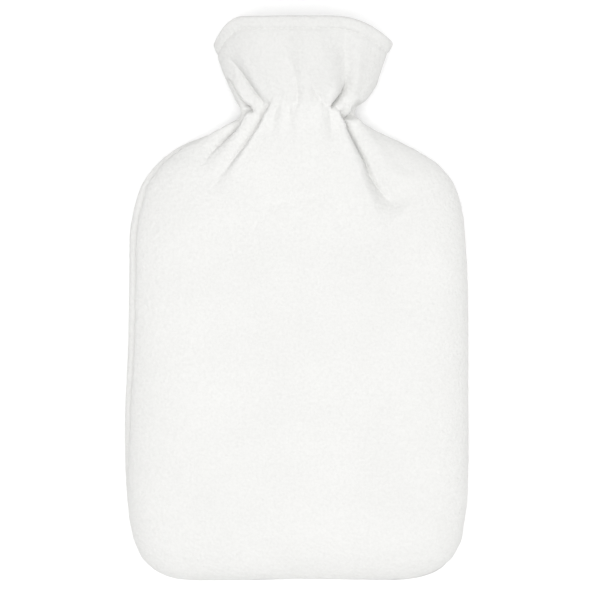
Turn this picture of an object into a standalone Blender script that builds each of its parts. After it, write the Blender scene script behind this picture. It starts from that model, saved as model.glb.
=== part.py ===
"""A fleece cover for a two litre hot water bottle, lying on its back in its filled shape.

Two panels of fleece, cut to one outline, are sewn together along both sides and the bottom. Elastic
draws them in to a neck, and above it they flare into a ruffle with a turned hem round the open mouth.
The bottle is not part of the cover, so the cover is hollow.

X runs across the cover, +Y from the bottom seam to the mouth, and the face looks up along +Z. The
origin is on the surface it lies on, in the middle of its length and width. Sizes are in millimetres.
"""

import bmesh
import bpy
import numpy as np

MM = 0.001

# The cloth and its seams.
CLOTH = 2.5  # thickness of the fleece
SEAM_GAP = 0.3  # between the two panels along the seams
SEAM_CLEAR = 5.0  # width beside a seam in which creases die away
HEM_DEPTH = 6.5  # of the turned hem, from the rim to its stitches
HEM_SWELL = 0.8  # how far the hem stands out, outside and inside
HEM_DIP = 0.6  # depth of its row of stitches
HEM_DIP_WIDTH = 1.3
FLEECE_COLOUR = (0.92, 0.92, 0.90, 1.0)
FLEECE_ROUGHNESS = 0.95

# Sections from the bottom seam to the rim. Each crosses the cover from its left edge to its right edge.
# middle, edge: y of the section in its middle and at both edges
# left, right: x of its edges
# flatLeft, flatRight: share of each half that stays at the middle's y before it bends to the edge
# bend: how suddenly it bends
# seam: height of the widest line
# front, back: how far the panels rise above it and fall below it
# roll: distance from the edge in which a panel rises to its full height
# square: 2 for a round section, more for a flatter one
# turnLeft, turnRight: how far each side seam lies above the widest line
SECTION_COLUMNS = (
    "middle edge left right flatLeft flatRight bend seam front back roll square turnLeft turnRight"
).split()
SECTIONS = (
    (-174.5, -162.0, -95.5, 96.5, 0.60, 0.54, 3.2, 17.0, 21.0, 19.0, 58, 3.0, 0.0, 0.0),
    (-170.0, -158.5, -98.0, 98.8, 0.55, 0.50, 2.8, 17.0, 21.0, 19.0, 58, 3.0, 0.0, 0.0),
    (-162.0, -151.0, -101.3, 102.8, 0.50, 0.45, 2.4, 17.0, 21.2, 19.2, 58, 3.0, 0.0, 0.0),
    (-150.0, -141.0, -103.8, 104.9, 0.40, 0.40, 2.2, 17.0, 21.5, 19.5, 58, 3.0, 0.0, 0.0),
    (-120.0, -118.0, -106.4, 107.0, 0.20, 0.20, 2.2, 17.0, 22.0, 20.0, 58, 3.0, 2.0, -1.5),
    (-75.0, -75.0, -107.0, 107.4, 0.00, 0.00, 2.2, 17.0, 22.0, 20.0, 60, 3.0, 6.0, -2.5),
    (-30.0, -30.0, -105.2, 107.3, 0.00, 0.00, 2.2, 17.0, 22.0, 20.0, 60, 3.0, 7.0, -2.5),
    (10.0, 10.0, -104.0, 106.9, 0.00, 0.00, 2.2, 17.0, 22.0, 20.0, 60, 3.0, 7.0, -2.5),
    (45.0, 38.0, -103.8, 105.5, 0.00, 0.00, 2.2, 17.0, 21.5, 20.0, 58, 3.0, 7.0, -2.5),
    (72.0, 56.0, -101.2, 103.6, 0.00, 0.00, 2.2, 17.5, 20.5, 19.5, 55, 2.8, 7.0, -2.5),
    (88.0, 70.0, -97.0, 99.6, 0.00, 0.00, 2.2, 18.0, 19.5, 19.0, 50, 2.6, 6.0, -2.0),
    (100.0, 84.0, -87.5, 89.5, 0.00, 0.00, 2.2, 19.0, 19.0, 18.5, 45, 2.4, 4.5, -1.0),
    (108.0, 96.0, -72.6, 71.3, 0.00, 0.00, 2.2, 20.0, 18.5, 18.5, 42, 2.2, 3.0, 0.0),
    (112.0, 104.0, -54.5, 54.5, 0.00, 0.00, 2.2, 20.5, 18.5, 18.5, 40, 2.0, 1.0, 0.0),
    (115.5, 111.0, -42.0, 41.5, 0.00, 0.00, 2.2, 21.0, 18.5, 18.5, 38, 2.0, 0.0, 0.0),
    (118.5, 115.0, -36.6, 38.0, 0.10, 0.00, 2.2, 21.0, 18.5, 18.5, 37, 2.0, 0.0, 0.0),
    (122.0, 118.5, -36.2, 38.6, 0.20, 0.00, 2.2, 21.0, 18.8, 18.8, 38, 2.0, 0.0, 0.0),
    (128.0, 124.0, -39.0, 44.8, 0.30, 0.10, 2.2, 21.5, 20.0, 19.8, 41, 2.0, 0.0, 0.0),
    (138.0, 132.0, -42.8, 50.2, 0.40, 0.20, 2.2, 22.0, 21.5, 21.0, 45, 2.0, 0.0, 0.0),
    (150.0, 142.0, -47.2, 53.2, 0.50, 0.25, 2.2, 22.5, 22.5, 22.0, 49, 2.0, 0.0, 0.0),
    (163.0, 151.5, -50.3, 56.4, 0.60, 0.30, 2.2, 23.0, 23.0, 22.8, 53, 2.0, 0.0, 0.0),
    (174.5, 159.0, -52.2, 60.3, 0.65, 0.30, 2.2, 23.0, 23.0, 23.0, 56, 2.0, 0.0, 0.0),
)

# Rows of the mesh along the cover: the bottom rolls up over EDGE_ROLL in its own rows, and then each
# zone runs on to its y in that many rows.
EDGE_ROLL = 11.0
EDGE_ROWS = 5
ROW_ZONES = ((-110.0, 4), (30.0, 3), (72.0, 3), (104.0, 7), (131.0, 8), (167.0, 5), (174.5, 3))
COLUMNS = 32

# Creases pressed into each panel. Each is a line of points: x, y, depth, width.
FACE_CREASES = {
    "ruffle_left_edge": ((-31, 119, 4.0, 2.5), (-36, 125, 4.0, 3.0), (-42, 133, 1.5, 4.0)),
    "ruffle_left": ((-24, 122, 3.5, 2.5), (-29, 132, 3.0, 3.0), (-35, 141, 2.0, 4.0), (-40, 149, 0.0, 5.0)),
    "ruffle_centre": ((0, 122, 3.0, 2.5), (0, 132, 2.5, 3.5), (-4, 145, 1.5, 5.0), (-8, 157, 0.0, 6.0)),
    "ruffle_middle_right": ((16, 122, 3.0, 2.5), (12, 130, 2.0, 3.5), (8, 139, 0.0, 5.0)),
    "ruffle_right": ((23, 120, 4.5, 2.5), (29, 127, 5.0, 3.0), (31, 140, 3.0, 5.0), (29, 165, 0.5, 8.0)),
    "neck_right": ((37, 117, 3.0, 2.0), (31, 113, 4.0, 2.0), (26, 119, 2.0, 2.0)),
    "shoulder_left_edge": ((-31, 118, 4.0, 2.5), (-41, 107, 4.0, 3.0), (-51, 94, 2.5, 4.5), (-58, 80, 0.0, 7.0)),
    "shoulder_left": ((-17, 121, 3.0, 2.5), (-24, 110, 3.5, 3.0), (-33, 94, 2.5, 4.0), (-49, 74, 0.0, 6.0)),
    "shoulder_centre": ((-4, 118, 2.0, 2.5), (-4, 106, 1.0, 3.5), (-4, 95, 0.0, 5.0)),
    "shoulder_middle_right": ((20, 118, 2.5, 2.5), (22, 104, 1.5, 3.5), (25, 90, 0.0, 6.0)),
    "shoulder_right": (
        (31, 114, 5.0, 2.5),
        (37, 99, 6.0, 3.0),
        (45, 82, 4.5, 4.0),
        (56, 64, 2.0, 8.0),
        (66, 54, 0.0, 10.0),
    ),
}
BACK_CREASE_COUNT = 7
BACK_CREASE_DEPTH = 3.0
BACK_CREASE_REACH = (30.0, 34.0)  # below and above the neck
NECK_Y = 118.0


def smoothed(keys, values, at):
    """A curve through a table's values that never overshoots them."""
    step = np.diff(keys)
    slope = np.diff(values) / step
    tangent = np.zeros(len(keys))
    turns = slope[:-1] * slope[1:] > 0
    inner = np.where(turns, 2 * slope[:-1] * slope[1:] / np.where(turns, slope[:-1] + slope[1:], 1), 0)
    tangent[1:-1] = inner
    tangent[0], tangent[-1] = slope[0], slope[-1]
    span = np.clip(np.searchsorted(keys, at) - 1, 0, len(step) - 1)
    t = (at - keys[span]) / step[span]
    start = (1 + 2 * t) * (1 - t) ** 2 * values[span] + t * (1 - t) ** 2 * step[span] * tangent[span]
    end = t**2 * (3 - 2 * t) * values[span + 1] + t**2 * (t - 1) * step[span] * tangent[span + 1]
    return start + end


def section_at(middle):
    """The columns of the section whose middle lies at this y, by name."""
    table = np.array(SECTIONS)
    return {
        name: smoothed(table[:, 0], table[:, k], np.asarray(middle, float))
        for k, name in enumerate(SECTION_COLUMNS)
    }


def flat_place(section, across):
    """x and y of a place on a section, from -1 at its left edge to 1 at its right edge."""
    x = section["left"] + (section["right"] - section["left"]) * (across + 1) / 2
    flat = np.where(across < 0, section["flatLeft"], section["flatRight"])
    bend = np.clip((np.abs(across) - flat) / (1 - flat), 0, 1) ** section["bend"]
    return x, section["middle"] + (section["edge"] - section["middle"]) * bend


def sewn_outline():
    """The line of the side and bottom seams as seen from above."""
    side = section_at(np.linspace(SECTIONS[0][0], SECTIONS[-1][0], 160))
    bottom = section_at(SECTIONS[0][0])
    x, y = flat_place(bottom, np.linspace(-1, 1, 60))
    left = np.column_stack([side["left"], side["edge"]])[::-1]
    right = np.column_stack([side["right"], side["edge"]])
    return np.concatenate([left, np.column_stack([x, y])[1:-1], right])


def line_distance(points, line):
    """For each point, its distance to a line of points, and how far along it the nearest place is."""
    start, along = line[:-1], np.diff(line, axis=0)
    length = np.maximum((along**2).sum(1), 1e-9)
    offset = points[:, None, :] - start
    t = np.clip((offset * along).sum(2) / length, 0, 1)
    gap = np.linalg.norm(offset - t[..., None] * along, axis=2)
    nearest = gap.argmin(1)
    rows = np.arange(len(points))
    return gap[rows, nearest], nearest + t[rows, nearest]


def closed_section(middle, outline):
    """A section as two lines of points, the front from left to right and the back from right to left."""
    section = section_at(middle)
    across = np.sin(np.linspace(-0.5, 0.5, 161) * np.pi)
    x, y = flat_place(section, across)
    edge, _ = line_distance(np.column_stack([x, y]), outline)
    edge[[0, -1]] = 0.0
    rise = np.sqrt(1 - np.clip(1 - edge / section["roll"], 0, 1) ** section["square"])
    top = section["seam"] + SEAM_GAP / 2 + section["front"] * rise
    bottom = np.maximum(section["seam"] - SEAM_GAP / 2 - section["back"] * rise, 0)
    return np.column_stack([x, y, top]), np.column_stack([x, y, bottom])[::-1], section


def evenly(line, length, starts, ends):
    """COLUMNS + 1 points evenly along a line of points, from one length along it to another."""
    at = np.linspace(starts, ends, COLUMNS + 1)
    return np.column_stack([np.interp(at, length, line[:, k]) for k in range(3)])


def row_places():
    """The y of every row's middle, closest together where the bottom rolls up."""
    turn = np.linspace(0, np.pi / 2, EDGE_ROWS)
    places = list(SECTIONS[0][0] + EDGE_ROLL * (1 - np.cos(turn)))
    for end, rows in ROW_ZONES:
        places += list(np.linspace(places[-1], end, rows + 1)[1:])
    return places


def plain_panels(outline):
    """Rows of points on the plain front and back, which meet along the seams with a small gap."""
    front_rows, back_rows = [], []
    for middle in row_places():
        front, back, section = closed_section(middle, outline)
        line = np.concatenate([front, back, front])
        length = np.concatenate([[0], np.cumsum(np.linalg.norm(np.diff(line, axis=0), axis=1))])
        whole = length[len(front) + len(back)]
        middles = [len(front) // 2, len(front) + len(back) // 2, len(line) - len(front) // 2]
        right = slice(middles[0], middles[1])
        left = slice(middles[1], middles[2])
        seam_left = section["seam"] + section["turnLeft"]
        seam_right = section["seam"] + section["turnRight"]
        cuts = {}
        for side, sign in (("front", 1), ("back", -1)):
            off = sign * SEAM_GAP / 2
            cuts[side, "left"] = np.interp(seam_left + off, line[left, 2], length[left])
            cuts[side, "right"] = np.interp(-seam_right - off, -line[right, 2], length[right])
        front_rows.append(evenly(line, length, cuts["front", "left"] - whole, cuts["front", "right"]))
        back_rows.append(evenly(line, length, cuts["back", "right"], cuts["back", "left"]))
    return np.array(front_rows), np.array(back_rows)


def outward(front, back):
    """The plain surface's normals. Points that face each other across a seam share one."""
    loop = np.concatenate([front, back, front[:, :1]], axis=1)
    faces = np.cross(loop[1:, 1:] - loop[:-1, :-1], loop[1:, :-1] - loop[:-1, 1:])
    total = np.zeros_like(loop)
    for row in (0, 1):
        for column in (0, 1):
            total[row : len(loop) - 1 + row, column : loop.shape[1] - 1 + column] += faces
    front_side = total[:, : COLUMNS + 1]
    back_side = total[:, COLUMNS + 1 : -1]
    front_side[:, 0] += total[:, -1]
    for mine, other in ((0, COLUMNS), (COLUMNS, 0)):
        shared = front_side[:, mine] + back_side[:, other]
        front_side[:, mine] = back_side[:, other] = shared
    shared = front_side[0] + back_side[0, ::-1]
    front_side[0], back_side[0] = shared, shared[::-1]
    return tuple(side / np.linalg.norm(side, axis=2, keepdims=True) for side in (front_side, back_side))


def creased(points, creases):
    """How far creases press the surface in, with the cloth pushed up a little beside each."""
    flat = points[..., :2].reshape(-1, 2)
    total = np.zeros(len(flat))
    for crease in creases:
        table = np.array(crease, float)
        gap, place = line_distance(flat, table[:, :2])
        depth = np.interp(place, np.arange(len(table)), table[:, 2])
        width = np.interp(place, np.arange(len(table)), table[:, 3])
        pressed = np.exp(-((gap / width) ** 2)) - 0.3 * np.exp(-((gap / width - 2) ** 2))
        total -= depth * pressed
    return total.reshape(points.shape[:2])


def back_creases():
    """Gathers of the back, evenly spread and running straight through the neck."""
    below, above = BACK_CREASE_REACH
    for place in np.linspace(-0.8, 0.8, BACK_CREASE_COUNT):
        spread = 30 * place
        yield (
            (spread * 1.6, NECK_Y - below, 0.0, 6.0),
            (spread, NECK_Y, BACK_CREASE_DEPTH, 2.5),
            (spread * 1.3, NECK_Y + above, 0.0, 6.0),
        )


def hem_profile(rows):
    """For each row, how much thicker the hem makes the cloth, and how deep its stitches draw it in."""
    below_rim = SECTIONS[-1][0] - np.array(rows)
    swell = HEM_SWELL * np.sqrt(np.clip(1 - (2 * below_rim / HEM_DEPTH - 1) ** 2, 0, 1))
    dip = HEM_DIP * np.exp(-(((below_rim - HEM_DEPTH) / HEM_DIP_WIDTH) ** 2))
    return swell[:, None], dip[:, None]


def fleece(name):
    material = bpy.data.materials.new(name)
    material.use_nodes = True
    shader = material.node_tree.nodes["Principled BSDF"]
    shader.inputs["Base Color"].default_value = FLEECE_COLOUR
    shader.inputs["Roughness"].default_value = FLEECE_ROUGHNESS
    shader.inputs["Metallic"].default_value = 0.0
    return material


def panel(name, outer, inner):
    """A sheet of cloth between two grids of points, made from a flat grid and closed round its edge."""
    rows, columns = outer.shape[:2]
    mesh = bpy.data.meshes.new(name)
    bm = bmesh.new()
    bmesh.ops.create_grid(bm, x_segments=columns - 1, y_segments=rows - 1, size=0.5)
    place = bm.verts.layers.int.new("place")
    for vert in bm.verts:
        column = round((vert.co.x + 0.5) * (columns - 1))
        row = round((vert.co.y + 0.5) * (rows - 1))
        vert[place] = row * columns + column
    made = bmesh.ops.extrude_face_region(bm, geom=bm.faces[:], use_keep_orig=True)
    behind = {element for element in made["geom"] if isinstance(element, bmesh.types.BMVert)}
    for vert in bm.verts:
        side = inner if vert in behind else outer
        vert.co = side[vert[place] // columns, vert[place] % columns] * MM
    bmesh.ops.recalc_face_normals(bm, faces=bm.faces[:])
    if bm.calc_volume(signed=True) < 0:
        bmesh.ops.reverse_faces(bm, faces=bm.faces[:])
    bm.verts.layers.int.remove(place)
    bm.to_mesh(mesh)
    bm.free()
    mesh.shade_smooth()
    mesh.set_sharp_from_angle(angle=np.radians(60))
    mesh.materials.append(fleece(name))
    piece = bpy.data.objects.new(name, mesh)
    bpy.context.scene.collection.objects.link(piece)
    return piece


def main():
    for old in list(bpy.data.objects):
        bpy.data.objects.remove(old, do_unlink=True)
    outline = sewn_outline()
    front, back = plain_panels(outline)
    front_normal, back_normal = outward(front, back)
    swell, dip = hem_profile(row_places())
    creases = {"front_panel": FACE_CREASES.values(), "back_panel": back_creases()}
    sides = {"front_panel": (front, front_normal), "back_panel": (back, back_normal)}
    for name, (plain, normal) in sides.items():
        edge, _ = line_distance(plain[..., :2].reshape(-1, 2), outline)
        calm = np.clip(edge / SEAM_CLEAR, 0, 1).reshape(plain.shape[:2])
        pressed = creased(plain, creases[name]) * calm
        outer = plain + (pressed + swell * calm - dip)[..., None] * normal
        inner = plain + (pressed - swell * calm - dip - CLOTH)[..., None] * normal
        lowered = outer[..., 2] < 0
        inner[lowered, 2] -= outer[lowered, 2]
        outer[lowered, 2] = 0
        panel(name, outer, inner)


main()
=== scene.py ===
import math

import bmesh
import bpy
import numpy as np
from mathutils import Matrix, Vector, kdtree, noise


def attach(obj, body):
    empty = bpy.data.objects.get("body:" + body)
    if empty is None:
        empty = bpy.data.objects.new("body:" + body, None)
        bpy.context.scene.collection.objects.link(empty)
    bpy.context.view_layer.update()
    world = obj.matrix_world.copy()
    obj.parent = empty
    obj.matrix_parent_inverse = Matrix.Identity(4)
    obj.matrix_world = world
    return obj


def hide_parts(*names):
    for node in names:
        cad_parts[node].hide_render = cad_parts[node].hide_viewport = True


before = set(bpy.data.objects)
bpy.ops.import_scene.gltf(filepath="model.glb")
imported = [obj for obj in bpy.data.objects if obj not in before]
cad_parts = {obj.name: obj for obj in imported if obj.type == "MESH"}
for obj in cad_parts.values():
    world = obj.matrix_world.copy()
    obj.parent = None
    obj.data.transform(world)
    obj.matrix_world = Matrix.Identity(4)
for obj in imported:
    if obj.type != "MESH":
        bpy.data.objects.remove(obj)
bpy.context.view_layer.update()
mm = 0.001

# the cover's plain form, in millimetres, as the CAD has it
form = {
    "cloth": 2.5,  # thickness of the fleece
    "seamGap": 0.3,  # between the two panels
    "edgeRoll": 11.0,  # radius of the bottom's rolled edge
    "edgeRows": 17,
    "turnReach": 7,  # millimetres each way over which the way out of the cover turns
    "rowZones": (
        (50.0, 92), (104.0, 78), (134.0, 64), (166.0, 46), (172.6, 18), (174.5, 8),
    ),  # each runs on to this y in this many rows
    "columns": 262,
    "edgeFineness": (1.5, 0.022),  # how much closer the columns lie at a seam, and over what share
    "middleFineness": (0.5, 0.27),
    "liningStep": 3,  # the inner face takes every third row and column
    "acrossSamples": 361,  # points that trace one section before it is divided
}

sectionColumns = (
    "middle edge left right flatLeft flatRight bend seam front back roll square turnLeft turnRight"
).split()
sections = (
    (-174.5, -162.0, -95.5, 96.5, 0.60, 0.54, 3.2, 17.0, 21.0, 19.0, 58, 3.0, 0.0, 0.0),
    (-170.0, -158.5, -98.0, 98.8, 0.55, 0.50, 2.8, 17.0, 21.0, 19.0, 58, 3.0, 0.0, 0.0),
    (-162.0, -151.0, -101.3, 102.8, 0.50, 0.45, 2.4, 17.0, 21.2, 19.2, 58, 3.0, 0.0, 0.0),
    (-150.0, -141.0, -103.8, 104.9, 0.40, 0.40, 2.2, 17.0, 21.5, 19.5, 58, 3.0, 0.0, 0.0),
    (-120.0, -118.0, -106.4, 107.0, 0.20, 0.20, 2.2, 17.0, 22.0, 20.0, 58, 3.0, 2.0, -1.5),
    (-75.0, -75.0, -107.0, 107.4, 0.00, 0.00, 2.2, 17.0, 22.0, 20.0, 60, 3.0, 6.0, -2.5),
    (-30.0, -30.0, -105.2, 107.3, 0.00, 0.00, 2.2, 17.0, 22.0, 20.0, 60, 3.0, 7.0, -2.5),
    (10.0, 10.0, -104.0, 106.9, 0.00, 0.00, 2.2, 17.0, 22.0, 20.0, 60, 3.0, 7.0, -2.5),
    (40.0, 38.0, -103.8, 105.5, 0.00, 0.00, 2.2, 17.0, 21.5, 20.0, 58, 3.0, 7.0, -2.5),
    (59.0, 56.0, -101.2, 103.6, 0.00, 0.00, 2.2, 17.5, 20.5, 19.5, 55, 2.8, 7.0, -2.5),
    (73.0, 70.0, -97.0, 99.6, 0.00, 0.00, 2.2, 18.0, 19.5, 19.0, 50, 2.6, 6.0, -2.0),
    (86.5, 84.0, -87.5, 89.5, 0.00, 0.00, 2.2, 19.0, 19.0, 18.5, 45, 2.4, 4.5, -1.0),
    (98.0, 96.0, -72.6, 71.3, 0.00, 0.00, 2.2, 20.0, 18.5, 18.5, 42, 2.2, 3.0, 0.0),
    (105.5, 104.0, -54.5, 54.5, 0.00, 0.00, 2.2, 20.5, 18.5, 18.5, 40, 2.0, 1.0, 0.0),
    (112.0, 111.0, -42.0, 41.5, 0.00, 0.00, 2.2, 21.0, 18.5, 18.5, 38, 2.0, 0.0, 0.0),
    (116.5, 115.0, -36.6, 38.0, 0.10, 0.00, 2.2, 21.0, 18.5, 18.5, 37, 2.0, 0.0, 0.0),
    (121.0, 118.5, -36.2, 38.6, 0.20, 0.00, 2.2, 21.0, 18.8, 18.8, 38, 2.0, 0.0, 0.0),
    (127.5, 124.0, -39.0, 44.8, 0.30, 0.10, 2.2, 21.5, 20.0, 19.8, 41, 2.0, 0.0, 0.0),
    (138.0, 132.0, -42.8, 50.2, 0.40, 0.20, 2.2, 22.0, 21.5, 21.0, 45, 2.0, 0.0, 0.0),
    (150.0, 142.0, -47.2, 53.2, 0.50, 0.25, 2.2, 22.5, 22.5, 22.0, 49, 2.0, 0.0, 0.0),
    (163.0, 151.5, -50.3, 56.4, 0.60, 0.30, 2.2, 23.0, 23.0, 22.8, 53, 2.0, 0.0, 0.0),
    (174.5, 159.0, -52.2, 60.3, 0.65, 0.30, 2.2, 23.0, 23.0, 23.0, 56, 2.0, 0.0, 0.0),
)
sectionTable = np.array(sections)


def smoothed(keys, values, at):
    # a curve through the values that never overshoots them
    step = np.diff(keys)
    slope = np.diff(values) / step
    tangent = np.zeros(len(keys))
    turns = slope[:-1] * slope[1:] > 0
    tangent[1:-1] = np.where(
        turns, 2 * slope[:-1] * slope[1:] / np.where(turns, slope[:-1] + slope[1:], 1), 0
    )
    tangent[0], tangent[-1] = slope[0], slope[-1]
    span = np.clip(np.searchsorted(keys, at) - 1, 0, len(step) - 1)
    t = (at - keys[span]) / step[span]
    start = (1 + 2 * t) * (1 - t) ** 2 * values[span] + t * (1 - t) ** 2 * step[span] * tangent[span]
    end = t**2 * (3 - 2 * t) * values[span + 1] + t**2 * (t - 1) * step[span] * tangent[span + 1]
    return start + end


def sectionAt(middle):
    at = np.asarray(middle, float)
    return {
        name: smoothed(sectionTable[:, 0], sectionTable[:, k], at) for k, name in enumerate(sectionColumns)
    }


def flatPlace(section, across):
    # x and y on a section, from -1 at its left edge to 1 at its right edge
    x = section["left"] + (section["right"] - section["left"]) * (across + 1) / 2
    flat = np.where(across < 0, section["flatLeft"], section["flatRight"])
    bend = np.clip((np.abs(across) - flat) / (1 - flat), 0, 1) ** section["bend"]
    return x, section["middle"] + (section["edge"] - section["middle"]) * bend


def sewnOutline():
    side = sectionAt(np.linspace(sections[0][0], sections[-1][0], 260))
    x, y = flatPlace(sectionAt(sections[0][0]), np.linspace(-1, 1, 180))
    left = np.column_stack([side["left"], side["edge"]])[::-1]
    right = np.column_stack([side["right"], side["edge"]])
    return np.concatenate([left, np.column_stack([x, y])[1:-1], right])


def lineDistance(points, line):
    # distance to a line of points, the place along it, and +1 on its left or -1 on its right
    start, along = line[:-1], np.diff(line, axis=0)
    length = np.maximum((along**2).sum(1), 1e-9)
    gaps, places, sides = [], [], []
    for part in np.array_split(points, max(1, len(points) * len(along) // 2_000_000)):
        offset = part[:, None, :] - start
        t = np.clip((offset * along).sum(2) / length, 0, 1)
        gap = np.linalg.norm(offset - t[..., None] * along, axis=2)
        nearest = gap.argmin(1)
        rows = np.arange(len(part))
        cross = along[nearest, 0] * offset[rows, nearest, 1] - along[nearest, 1] * offset[rows, nearest, 0]
        gaps.append(gap[rows, nearest])
        places.append(nearest + t[rows, nearest])
        sides.append(np.where(cross > 0, 1, -1))
    return np.concatenate(gaps), np.concatenate(places), np.concatenate(sides)


def rowPlaces():
    turn = np.linspace(0, math.pi / 2, form["edgeRows"])
    places = list(sections[0][0] + form["edgeRoll"] * (1 - np.cos(turn)))
    for end, rows in form["rowZones"]:
        places += list(np.linspace(places[-1], end, rows + 1)[1:])
    return np.array(places)


def columnShares():
    # where the columns lie from one seam to the other, closer together where there is more to show
    share = np.linspace(0, 1, 2001)
    (edge, edgeReach), (middle, middleReach) = form["edgeFineness"], form["middleFineness"]
    density = 1 + edge * np.exp(-((share / edgeReach) ** 2))
    density += edge * np.exp(-(((1 - share) / edgeReach) ** 2))
    density += middle * np.exp(-(((share - 0.5) / middleReach) ** 2))
    total = np.concatenate([[0], np.cumsum((density[1:] + density[:-1]) / 2)])
    return np.interp(np.linspace(0, 1, form["columns"] + 1), total / total[-1], share)


def closedSection(middle, outline):
    # the front from left to right, then the back from right to left
    section = sectionAt(middle)
    across = np.sin(np.linspace(-0.5, 0.5, form["acrossSamples"]) * math.pi)
    x, y = flatPlace(section, across)
    gap, _, side = lineDistance(np.column_stack([x, y]), outline)
    edge = np.where(side > 0, gap, 0.0)
    edge[[0, -1]] = 0.0
    rise = np.sqrt(1 - np.clip(1 - edge / section["roll"], 0, 1) ** section["square"])
    top = section["seam"] + form["seamGap"] / 2 + section["front"] * rise
    bottom = np.maximum(section["seam"] - form["seamGap"] / 2 - section["back"] * rise, 0)
    return np.column_stack([x, y, top]), np.column_stack([x, y, bottom])[::-1], section


def plainPanels(outline):
    shares = columnShares()
    panels = {"front": [], "back": []}
    for middle in rowPlaces():
        front, back, section = closedSection(middle, outline)
        line = np.concatenate([front, back, front])
        length = np.concatenate([[0], np.cumsum(np.linalg.norm(np.diff(line, axis=0), axis=1))])
        whole = length[len(front) + len(back)]
        right = slice(len(front) // 2, len(front) + len(back) // 2)
        left = slice(len(front) + len(back) // 2, len(line) - len(front) // 2)
        for name, sign in (("front", 1), ("back", -1)):
            off = sign * form["seamGap"] / 2
            leftHeight = section["seam"] + section["turnLeft"] + off
            rightHeight = -section["seam"] - section["turnRight"] - off
            leftCut = np.interp(leftHeight, line[left, 2], length[left])
            rightCut = np.interp(rightHeight, -line[right, 2], length[right])
            ends = (leftCut - whole, rightCut) if name == "front" else (rightCut, leftCut)
            at = ends[0] + (ends[1] - ends[0]) * shares
            panels[name].append(np.column_stack([np.interp(at, length, line[:, k]) for k in range(3)]))
    return np.array(panels["front"]), np.array(panels["back"])


def outlineOut(outline, place):
    # the way straight out of the outline at each place along it, turning evenly round its corners
    along = np.diff(outline, axis=0)
    length = np.concatenate([[0], np.cumsum(np.linalg.norm(along, axis=1))])
    turn = np.unwrap(np.arctan2(-along[:, 0], along[:, 1]))
    even = np.arange(0, length[-1], 1.0)
    window = np.hanning(2 * form["turnReach"] + 3)[1:-1]
    padded = np.pad(np.interp(even, (length[1:] + length[:-1]) / 2, turn), form["turnReach"], mode="edge")
    eased = np.convolve(padded, window / window.sum(), mode="valid")
    out = np.interp(np.interp(place, np.arange(len(length)), length), even, eased)
    return np.column_stack([np.cos(out), np.sin(out)])


def outwardNormals(points, outline):
    # straight out of the cover's rounded edge, upright on its flat middle
    section = {name: value[:, None] for name, value in sectionAt(rowPlaces()).items()}
    edge, place, _ = lineDistance(points[..., :2].reshape(-1, 2), outline)
    out = outlineOut(outline, place)
    left = np.clip(1 - edge.reshape(points.shape[:2]) / section["roll"], 0, 1)
    front = points[..., 2] >= section["seam"]
    height = np.where(front, section["front"], section["back"])
    slope = height * section["square"] / section["roll"] * left ** (section["square"] - 1)
    up = 2 * np.sqrt(1 - left ** section["square"]) * np.where(front, 1, -1)
    normal = np.concatenate([out.reshape(*points.shape[:2], 2) * slope[..., None], up[..., None]], axis=2)
    return normal / np.linalg.norm(normal, axis=2, keepdims=True)


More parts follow.
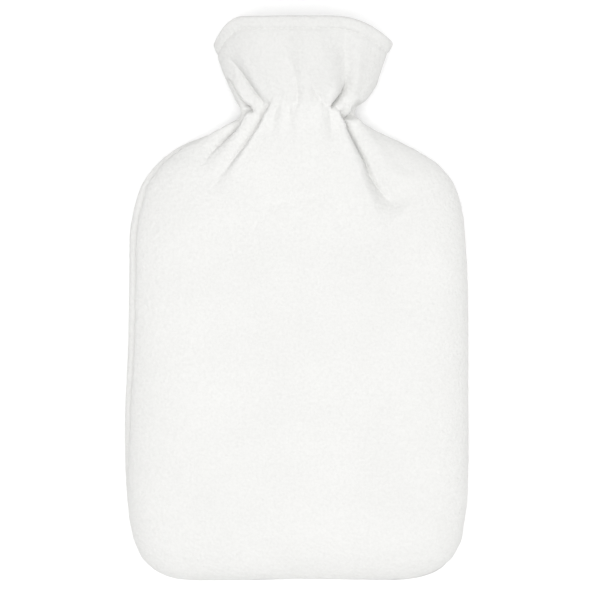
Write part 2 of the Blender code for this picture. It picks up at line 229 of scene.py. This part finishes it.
# creases of the face: each point's x, y, depth, width on the line's left, width on its right,
# and the depth of the pinched line in the middle
faceCreases = {
    "ruffleLeftEdge": (
        (-28.0, 116.0, 1.5, 2.0, 2.0, 0.0),
        (-30.5, 118.5, 2.5, 2.4, 1.6, 5.0),
        (-34.8, 122.8, 3.2, 3.5, 1.5, 7.0),
        (-38.2, 127.3, 3.4, 4.5, 1.5, 7.0),
        (-41.3, 131.8, 2.4, 5.0, 1.8, 6.0),
        (-44.5, 137.0, 0.0, 6.0, 3.0, 0.0),
    ),
    "ruffleLeft": (
        (-21.5, 122.0, 2.2, 2.5, 2.2, 0.8),
        (-27.5, 128.5, 3.2, 4.0, 2.4, 2.0),
        (-34.1, 138.3, 2.8, 5.0, 2.8, 1.8),
        (-38.6, 144.2, 1.8, 5.5, 3.5, 0.8),
        (-43.0, 150.0, 0.0, 6.0, 5.0, 0.0),
    ),
    "ruffleCentre": (
        (0.6, 121.0, 1.2, 2.4, 2.6, 0.3),
        (0.3, 131.0, 2.0, 3.6, 3.8, 0.4),
        (-2.8, 142.0, 2.0, 5.0, 5.0, 0.2),
        (-7.5, 153.0, 1.2, 7.0, 6.0, 0.0),
        (-10.0, 163.0, 0.0, 8.0, 7.0, 0.0),
    ),
    "ruffleMiddleRight": (
        (17.5, 121.0, 1.2, 2.4, 2.4, 0.4),
        (12.0, 128.0, 2.0, 3.2, 3.4, 0.4),
        (8.4, 136.0, 1.6, 4.4, 4.6, 0.1),
        (6.5, 147.0, 0.0, 6.0, 6.0, 0.0),
    ),
    "ruffleRight": (
        (22.6, 119.2, 1.6, 1.8, 2.0, 1.8),
        (24.6, 121.2, 2.4, 2.0, 2.2, 5.0),
        (29.9, 127.3, 3.2, 3.4, 2.6, 5.0),
        (31.2, 132.5, 3.6, 4.4, 2.6, 1.2),
        (31.4, 141.0, 3.6, 6.0, 3.0, 0.0),
        (30.6, 153.0, 3.2, 7.5, 3.8, 0.0),
        (28.5, 168.0, 0.8, 10.0, 6.0, 0.0),
    ),
    "neckRightPinch": (
        (24.4, 120.2, 0.8, 1.6, 1.6, 0.6),
        (28.0, 116.7, 1.4, 1.8, 1.8, 1.1),
        (31.4, 113.2, 2.6, 2.0, 2.0, 3.5),
        (34.5, 113.9, 3.0, 2.2, 2.0, 4.5),
        (37.2, 116.0, 3.0, 2.4, 2.0, 5.5),
        (39.5, 119.0, 2.5, 2.4, 2.4, 5.0),
    ),
    "shoulderLeftEdge": (
        (-29.5, 119.5, 1.8, 2.0, 2.2, 1.2),
        (-35.4, 114.5, 3.2, 2.6, 2.4, 4.4),
        (-39.3, 108.2, 3.8, 3.2, 2.6, 4.6),
        (-45.8, 101.0, 3.6, 4.2, 3.4, 3.4),
        (-52.3, 93.0, 2.4, 6.0, 5.0, 1.2),
        (-60.0, 80.0, 0.0, 9.0, 8.0, 0.0),
    ),
    "shoulderLeft": (
        (-16.0, 123.2, 1.0, 1.8, 2.6, 0.5),
        (-20.9, 116.8, 2.8, 1.5, 4.6, 1.7),
        (-24.9, 108.9, 3.4, 1.4, 6.0, 1.8),
        (-31.5, 98.5, 3.2, 1.5, 7.0, 1.7),
        (-40.6, 85.5, 2.2, 2.0, 8.0, 1.1),
        (-48.4, 74.5, 0.9, 4.0, 9.0, 0.3),
        (-54.0, 66.0, 0.0, 6.0, 9.0, 0.0),
    ),
    "shoulderCentre": (
        (-4.5, 118.0, 1.0, 2.6, 2.6, 0.4),
        (-4.5, 108.0, 1.1, 3.6, 3.6, 0.0),
        (-5.0, 92.0, 0.0, 5.0, 5.0, 0.0),
    ),
    "shoulderLeftOfCentre": (
        (-13.5, 117.0, 0.9, 2.4, 2.4, 0.3),
        (-14.5, 108.0, 1.0, 3.2, 3.2, 0.0),
        (-15.5, 94.0, 0.0, 5.0, 5.0, 0.0),
    ),
    "shoulderMiddleRight": (
        (20.5, 118.0, 1.4, 2.6, 2.6, 0.5),
        (22.0, 108.0, 1.6, 3.6, 3.6, 0.2),
        (23.0, 96.0, 0.8, 5.0, 5.0, 0.0),
        (25.0, 84.0, 0.0, 7.0, 7.0, 0.0),
    ),
    "shoulderRight": (
        (30.6, 114.6, 2.4, 2.0, 2.0, 2.6),
        (32.2, 111.4, 3.0, 2.4, 2.2, 5.0),
        (34.5, 104.9, 3.2, 3.2, 2.4, 4.8),
        (39.5, 93.6, 3.2, 4.2, 2.6, 4.4),
        (42.9, 86.5, 3.4, 4.8, 2.8, 4.0),
        (46.1, 77.0, 3.9, 5.2, 3.2, 3.6),
        (50.7, 69.5, 5.2, 6.0, 4.0, 2.2),
        (56.0, 63.0, 4.4, 7.0, 5.5, 0.6),
        (65.0, 54.5, 0.0, 10.0, 9.0, 0.0),
    ),
    "chest": (
        (-24.0, 57.5, 0.0, 2.5, 2.5, 0.0),
        (-10.0, 59.5, 0.4, 2.5, 2.5, 0.0),
        (8.0, 63.0, 0.4, 2.5, 2.5, 0.0),
        (26.0, 66.0, 0.0, 3.0, 3.0, 0.0),
    ),
}
creaseShape = {
    "lift": 0.2,  # share of a crease's depth that its banks rise
    "pinchWidth": 0.85,
}


def creasesAt(flat, creases):
    # how far creases press the cloth in, with a low bank on each side
    wide, pinched, banks = np.zeros(len(flat)), np.zeros(len(flat)), np.zeros(len(flat))
    for table in creases:
        rows = np.array(table, float)
        count = np.arange(len(rows), dtype=float)
        fine = np.linspace(0, len(rows) - 1, 8 * (len(rows) - 1) + 1)
        line = np.column_stack([smoothed(count, rows[:, k], fine) for k in range(2)])
        gap, place, side = lineDistance(flat, line)
        depth, left, right, pinch = (smoothed(count, rows[:, k], place / 8) for k in range(2, 6))
        reach = gap / np.where(side > 0, left, right)
        wide += (depth * np.exp(-(reach**1.8))) ** 3
        pinched += (pinch * np.exp(-((gap / creaseShape["pinchWidth"]) ** 1.6))) ** 3
        banks += creaseShape["lift"] * depth * np.exp(-(((reach - 2.2) / 0.9) ** 2))
    return banks - np.cbrt(wide) - np.cbrt(pinched)


# gathers that the elastic draws in
gathers = {
    "row": 119.5,  # y of the elastic in the middle of a panel
    "count": 15,
    "scatter": 0.35,  # how far one lies from its even place, as a share of the step
    "depth": (0.2, 0.95),
    "width": (1.1, 2.4),
    "reachUp": (5.0, 20.0),
    "reachDown": (4.0, 16.0),
    "drift": 0.12,  # how far one leans aside for each millimetre along
    "spread": 14.0,  # one is twice as wide this far from the elastic
    "band": 0.35,  # depth to which the elastic draws the cloth in all round
    "bandWidth": 3.6,
}


def gathersAt(points, middles, seed):
    draw = np.random.default_rng(seed)
    length = np.cumsum(np.linalg.norm(np.diff(points, axis=1, prepend=points[:, :1]), axis=2), axis=1)
    along = middles[:, None] - gathers["row"]
    total = -gathers["band"] * np.exp(-((along / gathers["bandWidth"]) ** 2)) * np.ones_like(length)
    share = length / length[:, -1:]
    neck = length[np.abs(middles - gathers["row"]).argmin(), -1]
    count, scatter = gathers["count"], gathers["scatter"]
    for place in (np.arange(count) + 0.5 + draw.uniform(-scatter, scatter, count)) / count:
        depth = draw.uniform(*gathers["depth"])
        width = draw.uniform(*gathers["width"])
        reach = np.where(along > 0, draw.uniform(*gathers["reachUp"]), draw.uniform(*gathers["reachDown"]))
        lean = draw.uniform(-1, 1) * gathers["drift"]
        aside = (share - place) * neck - lean * along
        wide = width * (1 + np.abs(along) / gathers["spread"])
        total -= depth * np.exp(-((aside / wide) ** 2)) * np.exp(-((along / reach) ** 2))
    return total


# the fleece's own unevenness
unevenness = {
    "slow": (0.7, 70.0),  # height and length of slow swells on the body
    "wrinkle": (0.16, 17.0),
    "ruffle": (2.4, 24.0),
    "ruffleStretch": (1, 0.3, 1),  # the ruffle's swells are longer along the cover than across it
    "ruffleFade": 22.0,  # above the elastic
    "bodyTop": 100.0,  # y at which the slow swells begin
    "bodyFade": 40.0,
    "nap": (0.10, 2.1),
}
noiseStarts = {"panel": 5.0, "wrinkle": 11, "ruffle": 23, "pucker": 3.3, "nap": 40.0, "hem": 70.0}


def noiseAt(points, size, offset, stretch=(1, 1, 1)):
    scale = Vector(stretch) / size
    shift = Vector((offset, offset * 0.37, -offset))
    flat = points.reshape(-1, 3)
    return np.array([noise.noise(Vector(p) * scale + shift) for p in flat]).reshape(points.shape[:-1])


def unevenAt(points, middles, offset):
    ruffled = np.clip((middles[:, None] - gathers["row"]) / unevenness["ruffleFade"], 0, 1)
    body = np.clip((unevenness["bodyTop"] - middles[:, None]) / unevenness["bodyFade"], 0, 1)
    (slow, slowSize), (wrinkle, wrinkleSize) = unevenness["slow"], unevenness["wrinkle"]
    (ruffle, ruffleSize), stretch = unevenness["ruffle"], unevenness["ruffleStretch"]
    total = slow * noiseAt(points, slowSize, offset) * body
    total += wrinkle * noiseAt(points, wrinkleSize, offset + noiseStarts["wrinkle"])
    total += ruffle * noiseAt(points, ruffleSize, offset + noiseStarts["ruffle"], stretch) * ruffled
    return total


# creases of the back, which run through the neck from the ruffle to the shoulders
backFolds = {
    "count": 7,
    "span": 0.82,  # share of the neck's width that they take up
    "neckHalf": 31,
    "depth": 2.6,
    "uneven": 0.3,  # how much deeper or shallower one may be
    "reach": (34.0, 36.0),  # below and above the elastic
    "lean": 3,
}


def backCreases():
    below, above = backFolds["reach"]
    for k, place in enumerate(np.linspace(-backFolds["span"], backFolds["span"], backFolds["count"])):
        lean = backFolds["lean"] * math.sin(5.1 * k)
        depth = backFolds["depth"] * (1 + backFolds["uneven"] * math.sin(2.3 * k + 1))
        x = backFolds["neckHalf"] * place
        yield (
            (1.7 * x + lean, gathers["row"] - below, 0.0, 6.0, 6.0, 0.0),
            (1.15 * x, gathers["row"] - 12, depth, 3.0, 3.0, 0.5),
            (x, gathers["row"], depth, 2.2, 2.2, 1.0),
            (1.15 * x, gathers["row"] + 12, depth, 3.0, 3.0, 0.5),
            (1.4 * x - lean, gathers["row"] + above, 0.0, 7.0, 7.0, 0.0),
        )


# seams and hem
seam = {
    "tuck": 3.8,  # how deep the sewn edge is drawn in
    "tuckWidth": 2.1,
    "bottomTuck": 1.6,
    "bottomReach": (-150.0, -100.0),  # the tuck grows from the bottom's depth to the sides' between these y
    "pucker": 0.7,  # unevenness that the stitches pull beside the seam
    "puckerLength": 6.5,
    "puckerWidth": 5.0,
    "calm": 4.0,  # width in which creases die away towards the seam
}
hem = {
    "depth": 7.8,  # from the rim to the row of stitches
    "swell": 0.75,  # how far the doubled cloth stands out on each side
    "groove": 0.65,
    "innerGroove": 0.3,  # share of the groove that shows inside
    "grooveWidth": 1.2,
    "rimRound": 1.9,
    "pucker": 0.35,
    "puckerLength": 8.5,
    "puckerWidth": 9,
}


def seamReach(points):
    # each point's distance to the panel's sewn edge, and the nearest place along that edge
    edge = np.concatenate([points[::-1, 0], points[0, 1:-1], points[:, -1]])
    length = np.concatenate([[0], np.cumsum(np.linalg.norm(np.diff(edge, axis=0), axis=1))])
    at = np.arange(0, length[-1], 0.3)
    dense = np.column_stack([np.interp(at, length, edge[:, k]) for k in range(3)])
    tree = kdtree.KDTree(len(dense))
    for k, p in enumerate(dense):
        tree.insert(p, k)
    tree.balance()
    found = [tree.find(p) for p in points.reshape(-1, 3)]
    reach = np.array([f[2] for f in found]).reshape(points.shape[:2])
    return reach, at[np.array([f[1] for f in found])].reshape(points.shape[:2])


def rimReach(points):
    steps = np.linalg.norm(np.diff(points, axis=0), axis=2)
    down = np.concatenate([np.cumsum(steps[::-1], axis=0)[::-1], np.zeros((1, points.shape[1]))])
    return down


def hemAt(fromRim, points, offset):
    # how much the hem thickens the cloth, how its stitches draw it in, and how thick the cloth is at the rim
    inside = np.clip(1 - (2 * fromRim / hem["depth"] - 1) ** 2, 0, 1)
    swell = hem["swell"] * inside**0.5
    groove = hem["groove"] * np.exp(-((np.abs(fromRim - hem["depth"]) / hem["grooveWidth"]) ** 1.4))
    waves = hem["pucker"] * noiseAt(points, hem["puckerLength"], offset)
    waves = waves * np.exp(-((fromRim / hem["puckerWidth"]) ** 2))
    rounding = np.sqrt(1 - np.clip(1 - fromRim / hem["rimRound"], 0, 1) ** 2)
    return swell, groove, waves, rounding


# the fleece's look
fleece = {
    "shade": (0.785, 0.787, 0.779),  # between tufts
    "light": (0.815, 0.817, 0.809),
    "tuft": 560.0,  # tufts to a metre
    "fine": 1500.0,
    "bump": 0.55,
    "bumpDepth": 0.0007,
    "sheen": 0.10,
    "warm": (0.0, 0.3, 1.0),  # how much of the warmth each of red, green and blue gives up
    "paintedRuffleShade": (0.112, 0.142, 0.945),  # painted shade on the ruffle: its colour darkens from one y to the other, to this share
}


def fleeceMaterial(name, warmth=0.0):
    material = bpy.data.materials.new(name)
    material.use_nodes = True
    tree = material.node_tree
    nodes, links = tree.nodes, tree.links
    shader = nodes["Principled BSDF"]
    place = nodes.new("ShaderNodeTexCoord")

    tufts = nodes.new("ShaderNodeTexNoise")
    tufts.inputs["Scale"].default_value = fleece["tuft"]
    tufts.inputs["Detail"].default_value = 3.0
    tufts.inputs["Roughness"].default_value = 0.6
    pills = nodes.new("ShaderNodeTexVoronoi")
    pills.feature = "SMOOTH_F1"
    pills.inputs["Scale"].default_value = fleece["tuft"] * 0.8
    pills.inputs["Smoothness"].default_value = 0.6
    fibres = nodes.new("ShaderNodeTexNoise")
    fibres.inputs["Scale"].default_value = fleece["fine"]
    fibres.inputs["Detail"].default_value = 3.0
    fibres.inputs["Distortion"].default_value = 2.5
    cloudy = nodes.new("ShaderNodeTexNoise")
    cloudy.inputs["Scale"].default_value = 26.0
    cloudy.inputs["Detail"].default_value = 2.0
    for pattern in (tufts, pills, fibres, cloudy):
        links.new(place.outputs["Object"], pattern.inputs["Vector"])

    ramp = nodes.new("ShaderNodeValToRGB")
    ramp.color_ramp.elements[0].position = 0.34
    ramp.color_ramp.elements[1].position = 0.60
    shade = [c * (1 - warmth * k) for c, k in zip(fleece["shade"], fleece["warm"])]
    light = [c * (1 - warmth * k) for c, k in zip(fleece["light"], fleece["warm"])]
    ramp.color_ramp.elements[0].color = (*shade, 1)
    ramp.color_ramp.elements[1].color = (*light, 1)
    links.new(tufts.outputs["Fac"], ramp.inputs["Fac"])

    tone = nodes.new("ShaderNodeMapRange")
    tone.inputs["From Min"].default_value = 0.3
    tone.inputs["From Max"].default_value = 0.7
    tone.inputs["To Min"].default_value = 0.975
    tone.inputs["To Max"].default_value = 1.0
    links.new(cloudy.outputs["Fac"], tone.inputs["Value"])
    along = nodes.new("ShaderNodeSeparateXYZ")
    links.new(place.outputs["Object"], along.inputs["Vector"])
    # painted shade: the ruffle's colour is darkened towards its rim
    paintedRuffleShade = nodes.new("ShaderNodeMapRange")
    paintedRuffleShade.interpolation_type = "SMOOTHSTEP"
    paintedRuffleShade.inputs["From Min"].default_value = fleece["paintedRuffleShade"][0]
    paintedRuffleShade.inputs["From Max"].default_value = fleece["paintedRuffleShade"][1]
    paintedRuffleShade.inputs["To Min"].default_value = 1.0
    paintedRuffleShade.inputs["To Max"].default_value = fleece["paintedRuffleShade"][2]
    links.new(along.outputs["Y"], paintedRuffleShade.inputs["Value"])
    share = nodes.new("ShaderNodeMath")
    share.operation = "MULTIPLY"
    links.new(tone.outputs["Result"], share.inputs[0])
    links.new(paintedRuffleShade.outputs["Result"], share.inputs[1])
    tint = nodes.new("ShaderNodeVectorMath")
    tint.operation = "SCALE"
    links.new(ramp.outputs["Color"], tint.inputs[0])
    links.new(share.outputs["Value"], tint.inputs["Scale"])
    links.new(tint.outputs["Vector"], shader.inputs["Base Color"])

    coarse = nodes.new("ShaderNodeMath")
    coarse.operation = "MULTIPLY_ADD"
    coarse.inputs[1].default_value = 0.8
    links.new(tufts.outputs["Fac"], coarse.inputs[0])
    links.new(pills.outputs["Distance"], coarse.inputs[2])
    finer = nodes.new("ShaderNodeMath")
    finer.operation = "MULTIPLY_ADD"
    finer.inputs[1].default_value = 0.55
    links.new(fibres.outputs["Fac"], finer.inputs[0])
    links.new(coarse.outputs["Value"], finer.inputs[2])
    bump = nodes.new("ShaderNodeBump")
    bump.inputs["Strength"].default_value = fleece["bump"]
    bump.inputs["Distance"].default_value = fleece["bumpDepth"]
    links.new(finer.outputs["Value"], bump.inputs["Height"])
    links.new(bump.outputs["Normal"], shader.inputs["Normal"])

    shader.inputs["Roughness"].default_value = 1.0
    shader.inputs["Specular IOR Level"].default_value = 0.15
    shader.inputs["Sheen Weight"].default_value = fleece["sheen"]
    shader.inputs["Sheen Roughness"].default_value = 0.6
    return material


def clothGrid(bm, points):
    rows, columns = points.shape[:2]
    made = bmesh.ops.create_grid(bm, x_segments=columns - 1, y_segments=rows - 1, size=0.5)
    flat = points.reshape(-1, 3) * mm
    for vert in made["verts"]:
        column = round((vert.co.x + 0.5) * (columns - 1))
        row = round((vert.co.y + 0.5) * (rows - 1))
        vert.co = flat[row * columns + column]


def panelMesh(name, outer, inner, material):
    # the cloth's two faces, joined round their edges
    mesh = bpy.data.meshes.new(name)
    bm = bmesh.new()
    step = form["liningStep"]
    rows = [*range(0, len(inner) - 1, step), len(inner) - 1]
    columns = [*range(0, inner.shape[1] - 1, step), inner.shape[1] - 1]
    clothGrid(bm, outer)
    clothGrid(bm, inner[rows][:, columns])
    bmesh.ops.bridge_loops(bm, edges=[edge for edge in bm.edges if edge.is_boundary])
    bmesh.ops.recalc_face_normals(bm, faces=bm.faces[:])
    if bm.calc_volume(signed=True) < 0:
        bmesh.ops.reverse_faces(bm, faces=bm.faces[:])
    bm.to_mesh(mesh)
    bm.free()
    mesh.shade_smooth()
    mesh.materials.append(material)
    piece = bpy.data.objects.new(name, mesh)
    bpy.context.scene.collection.objects.link(piece)
    return piece


def makePanel(name, plain, normal, creases, seed, material):
    middles = rowPlaces()
    reach, seamPlace = seamReach(plain)
    fromRim = rimReach(plain)
    calm = 1 - np.exp(-((reach / seam["calm"]) ** 2))
    flat = plain[..., :2].reshape(-1, 2)
    pressed = creasesAt(flat, creases).reshape(plain.shape[:2])
    pressed += gathersAt(plain, middles, seed)
    pressed += unevenAt(plain, middles, noiseStarts["panel"] * seed)
    depth = np.interp(plain[..., 1], seam["bottomReach"], (seam["bottomTuck"], seam["tuck"]))
    tucked = -depth * np.exp(-((reach / seam["tuckWidth"]) ** 1.4))
    puckerPlace = np.stack([seamPlace, np.zeros_like(reach), np.zeros_like(reach)], axis=-1)
    pucker = seam["pucker"] * noiseAt(puckerPlace, seam["puckerLength"], noiseStarts["pucker"])
    tucked += pucker * np.exp(-((reach / seam["puckerWidth"]) ** 2))
    nap = unevenness["nap"][0] * noiseAt(plain, unevenness["nap"][1], noiseStarts["nap"] + seed)
    swell, groove, waves, rounding = hemAt(fromRim, plain, noiseStarts["hem"] + seed)
    lift = pressed * calm + tucked + waves
    half = form["cloth"] / 2
    outer = plain + (lift - half + (half + swell) * rounding - groove + nap)[..., None] * normal
    innerGroove = groove * hem["innerGroove"]
    inner = plain + (lift - half - (half + swell) * rounding + innerGroove + nap)[..., None] * normal
    low = outer[..., 2] < 0  # the cloth lies on the floor, not in it
    inner[low, 2] -= outer[low, 2]
    outer[low, 2] = 0
    piece = panelMesh(name, outer, inner, material)
    return piece, outer, fromRim


# stitches of the hem
stitches = {
    "step": 3.3,
    "length": 2.3,
    "thickness": 0.5,
    "sides": 6,
    "rings": 4,
    "sink": 0.05,
    "endGap": 1,  # from the last stitch to the seam
    "middle": (4, 140, 23),  # a place inside the ruffle, from which they face away
}


def hemStitches(name, surfaces, material):
    bm = bmesh.new()
    for outer, fromRim in surfaces:
        columns = outer.shape[1]
        row = np.abs(fromRim - hem["depth"]).argmin(0)
        line = outer[row, np.arange(columns)]
        below = outer[row - 1, np.arange(columns)]
        length = np.concatenate([[0], np.cumsum(np.linalg.norm(np.diff(line, axis=0), axis=1))])
        for at in np.arange(stitches["step"], length[-1] - stitches["endGap"], stitches["step"]):
            spot, ahead = ([np.interp(at + d, length, line[:, k]) for k in range(3)] for d in (0, 1))
            column = int(np.searchsorted(length, at))
            along = Vector(ahead) - Vector(spot)
            up = Vector(below[column]) - Vector(line[column])
            out = along.cross(up).normalized()
            out = -out if out.dot(Vector(spot) - Vector(stitches["middle"])) < 0 else out
            along.normalize()
            turned = Matrix((along, out.cross(along), out)).transposed().to_4x4()
            half = stitches["thickness"] / 2
            size = Matrix.Diagonal((stitches["length"] / 2, half, half, 1))
            centre = Vector(spot) + out * stitches["sink"]
            centre.z = max(centre.z, half)
            place = Matrix.Translation(centre)
            bmesh.ops.create_uvsphere(
                bm,
                u_segments=stitches["sides"],
                v_segments=stitches["rings"],
                radius=1.0,
                matrix=Matrix.Diagonal((mm, mm, mm, 1)) @ place @ turned @ size,
            )
    mesh = bpy.data.meshes.new(name)
    bm.to_mesh(mesh)
    bm.free()
    mesh.shade_smooth()
    mesh.materials.append(material)
    piece = bpy.data.objects.new(name, mesh)
    bpy.context.scene.collection.objects.link(piece)
    return piece


thread = {"colour": (0.82, 0.82, 0.80), "twist": 2600.0}


def threadMaterial(name):
    material = bpy.data.materials.new(name)
    material.use_nodes = True
    nodes, links = material.node_tree.nodes, material.node_tree.links
    shader = nodes["Principled BSDF"]
    place = nodes.new("ShaderNodeTexCoord")
    twist = nodes.new("ShaderNodeTexWave")
    twist.inputs["Scale"].default_value = thread["twist"]
    twist.inputs["Distortion"].default_value = 1.5
    links.new(place.outputs["Object"], twist.inputs["Vector"])
    bump = nodes.new("ShaderNodeBump")
    bump.inputs["Strength"].default_value = 0.4
    bump.inputs["Distance"].default_value = 0.0001
    links.new(twist.outputs["Fac"], bump.inputs["Height"])
    links.new(bump.outputs["Normal"], shader.inputs["Normal"])
    shader.inputs["Base Color"].default_value = (*thread["colour"], 1)
    shader.inputs["Roughness"].default_value = 0.7
    return material


# camera, lights and floor
view = {
    "centre": (0.0022, 0.0, 0.017),  # on the cover's widest line
    "across": 0.374,  # what the picture takes in there
    "distance": 1.7,
}
lighting = {
    "horizon": 0.26,
    "zenith": 1.03,
    "brightest": (0.13, -0.10, 0.986),  # the way to the tent's brightest place
    "key": (12.7, (-0.35, -0.1, 2.0), 1.4),  # watts, place, size
    "top": (10.0, (0.35, -0.1, 2.3), 1.6),
    "aim": (0, 0, 0.02),
    "floor": 0.97,
    "floorGlow": 0.08,  # the paper is lit from beneath too
    "floorSize": 3.0,
    "floorDrop": 0.0002,
}


def setCamera():
    camera = bpy.data.objects.new("camera", bpy.data.cameras.new("camera"))
    bpy.context.scene.collection.objects.link(camera)
    camera.location = Vector(view["centre"]) + Vector((0, 0, view["distance"]))
    camera.data.sensor_width = 36.0
    camera.data.lens = camera.data.sensor_width * view["distance"] / view["across"]
    camera.data.clip_end = 20.0
    bpy.context.scene.camera = camera


def areaLight(name, power, place, size):
    light = bpy.data.objects.new(name, bpy.data.lights.new(name, "AREA"))
    light.data.energy = power
    light.data.shape = "DISK"
    light.data.size = size
    light.location = place
    light.rotation_euler = (Vector(lighting["aim"]) - Vector(place)).to_track_quat("-Z", "Y").to_euler()
    bpy.context.scene.collection.objects.link(light)


def studio():
    # a white tent, brighter overhead than at its sides
    world = bpy.data.worlds.new("studio")
    world.use_nodes = True
    nodes, links = world.node_tree.nodes, world.node_tree.links
    nodes["Background"].inputs["Color"].default_value = (1.0, 1.0, 1.0, 1)
    direction = nodes.new("ShaderNodeTexCoord")
    towards = nodes.new("ShaderNodeVectorMath")
    towards.operation = "DOT_PRODUCT"
    towards.inputs[1].default_value = lighting["brightest"]
    brightness = nodes.new("ShaderNodeMapRange")
    brightness.inputs["To Min"].default_value = lighting["horizon"]
    brightness.inputs["To Max"].default_value = lighting["zenith"]
    links.new(direction.outputs["Generated"], towards.inputs[0])
    links.new(towards.outputs["Value"], brightness.inputs["Value"])
    links.new(brightness.outputs["Result"], nodes["Background"].inputs["Strength"])
    bpy.context.scene.world = world
    bpy.context.scene.view_settings.view_transform = "Standard"
    areaLight("key", *lighting["key"])
    areaLight("top", *lighting["top"])
    mesh = bpy.data.meshes.new("floor")
    bm = bmesh.new()
    bmesh.ops.create_grid(bm, x_segments=1, y_segments=1, size=lighting["floorSize"])
    bm.to_mesh(mesh)
    bm.free()
    paper = bpy.data.materials.new("floorPaper")
    paper.use_nodes = True
    shader = paper.node_tree.nodes["Principled BSDF"]
    shader.inputs["Base Color"].default_value = (lighting["floor"],) * 3 + (1,)
    shader.inputs["Roughness"].default_value = 0.9
    shader.inputs["Specular IOR Level"].default_value = 0.1
    shader.inputs["Emission Color"].default_value = (1.0, 1.0, 1.0, 1)
    shader.inputs["Emission Strength"].default_value = lighting["floorGlow"]
    mesh.materials.append(paper)
    floor = bpy.data.objects.new("floor", mesh)
    floor.location.z = -lighting["floorDrop"]
    bpy.context.scene.collection.objects.link(floor)


setCamera()
studio()
print("camera and studio done")

outline = sewnOutline()
frontPlain, backPlain = plainPanels(outline)
frontNormal, backNormal = outwardNormals(frontPlain, outline), outwardNormals(backPlain, outline)
print("plain form done")

frontFleece = fleeceMaterial("frontFleece", 0.012)
backFleece = fleeceMaterial("backFleece", 0.012)
frontPanel, frontOuter, frontRim = makePanel(
    "frontPanel", frontPlain, frontNormal, faceCreases.values(), 3, frontFleece
)
print("front panel done")
backPanel, backOuter, backRim = makePanel(
    "backPanel", backPlain, backNormal, list(backCreases()), 4, backFleece
)
print("back panel done")

hemThread = hemStitches(
    "hemStitches", ((frontOuter, frontRim), (backOuter, backRim)), threadMaterial("whiteThread")
)
print("hem stitches done")

for piece, node, slot in (
    (frontPanel, "front_panel", "front_fleece"),
    (backPanel, "back_panel", "back_fleece"),
):
    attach(piece, "root")
    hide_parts(node)
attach(hemThread, "root")
